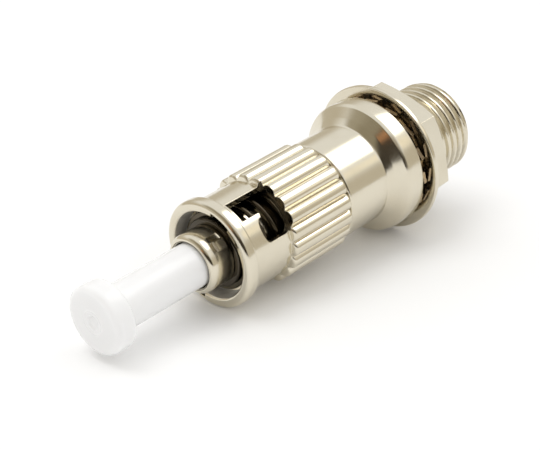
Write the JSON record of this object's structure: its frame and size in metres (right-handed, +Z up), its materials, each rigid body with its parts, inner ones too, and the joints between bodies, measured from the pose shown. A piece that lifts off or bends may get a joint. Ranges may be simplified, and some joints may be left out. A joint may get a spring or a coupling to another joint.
{
  "type": "fibre optic adapter",
  "caption": "Plated metal bulkhead fibre adapter: sprung bayonet coupling nut and capped ferrule on one end, threaded screw port with flange, washers and hex nut on the other.",
  "frame": {"origin": "centre of the bounding box's base, on the surface that the adapter lies on", "axes": "+X along the adapter from the dust cap to the threaded port, raised by 5.29 degrees; +Z up"},
  "size_m": [0.0404, 0.0128, 0.0127],
  "materials": {
    "nickel_plate": "bright nickel plate over turned brass, with faint turning marks",
    "spring_steel": "bright stamped and coiled spring steel with a warm tint",
    "white_ceramic": "polished white zirconia",
    "milky_plastic": "translucent milky white moulded plastic, smooth"
  },
  "bodies": {
    "adapter": {"adapter_body": "nickel_plate", "coupling_spring": "spring_steel", "ferrule": "white_ceramic", "ferrule_collar": "nickel_plate", "front_spring_washer": "spring_steel", "housing_retainer": "nickel_plate", "key_barrel": "nickel_plate", "retaining_clip": "spring_steel", "sleeve_housing": "nickel_plate", "split_sleeve": "white_ceramic"},
    "spring_follower": {"rear_spring_washer": "spring_steel"},
    "coupling_nut": {"coupling_nut": "nickel_plate"},
    "washers": {"flat_washer": "nickel_plate", "lock_washer": "spring_steel"},
    "hex_nut": {"hex_nut": "nickel_plate"},
    "dust_cap": {"dust_cap": "milky_plastic"}
  },
  "joints": [
    {"name": "coupling_slide", "type": "slide", "parent": "adapter", "child": "spring_follower", "axis": [-0.9957, 0, -0.0921], "range_m": [0, 0.002], "stiffness_N_per_m": 1000, "springref_m": -0.002, "deforming": ["coupling_spring"]},
    {"name": "coupling_turn", "type": "hinge", "parent": "spring_follower", "child": "coupling_nut", "pos_m": [0.00022, 0, 0.00526], "axis": [0.9957, 0, 0.0921], "continuous": true},
    {"name": "panel_nut_travel", "type": "slide", "parent": "adapter", "child": "washers", "axis": [0.9957, 0, 0.0921], "range_m": [0, 0.00375]},
    {"name": "panel_nut_turn", "type": "hinge", "parent": "washers", "child": "hex_nut", "pos_m": [0.0125, 0, 0.0064], "axis": [0.9957, 0, 0.0921], "range_deg": [0, 1805]},
    {"name": "cap_pull", "type": "slide", "parent": "adapter", "child": "dust_cap", "axis": [-0.9957, 0, -0.0921], "range_m": [0, 0.01]}
  ],
  "couplings": [
    {"joint": "panel_nut_turn", "follows": "panel_nut_travel", "rad_per_m": 8377.6}
  ]
}
